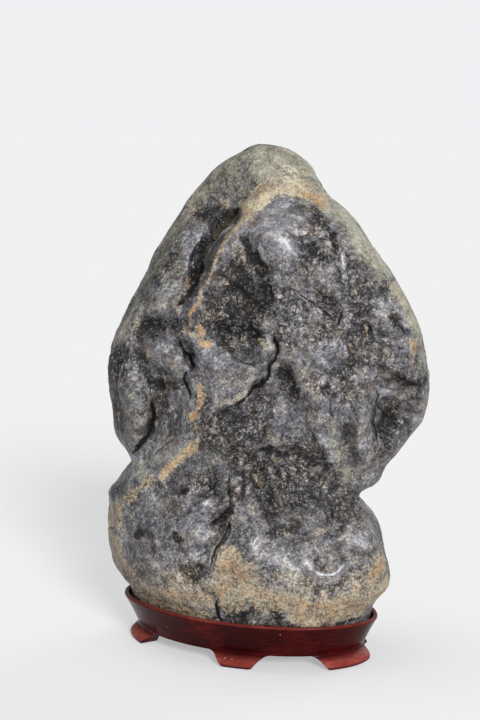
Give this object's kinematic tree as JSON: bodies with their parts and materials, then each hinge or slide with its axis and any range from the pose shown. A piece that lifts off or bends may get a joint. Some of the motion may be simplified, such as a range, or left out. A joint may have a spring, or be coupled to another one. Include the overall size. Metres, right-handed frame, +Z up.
{
  "type": "scholars rock on stand",
  "caption": "Water-worn viewing stone with a cleft, hollows and lobes, standing in a carved oval hardwood stand with an arched, footed skirt.",
  "frame": {"origin": "middle of the whole object's footprint box, on the flat underside of the stand's feet", "axes": "+Z up through the stone, -Y is the stone's front, +X is to the right when looking at the front"},
  "size_m": [0.1609, 0.0998, 0.2499],
  "materials": {
    "grey_stone": "waxed on the swells, matt in the hollows",
    "red_brown_lacquer": "gloss lacquer"
  },
  "bodies": {
    "root": {"stone": "grey_stone", "wooden_stand": "red_brown_lacquer"}
  },
  "joints": []
}
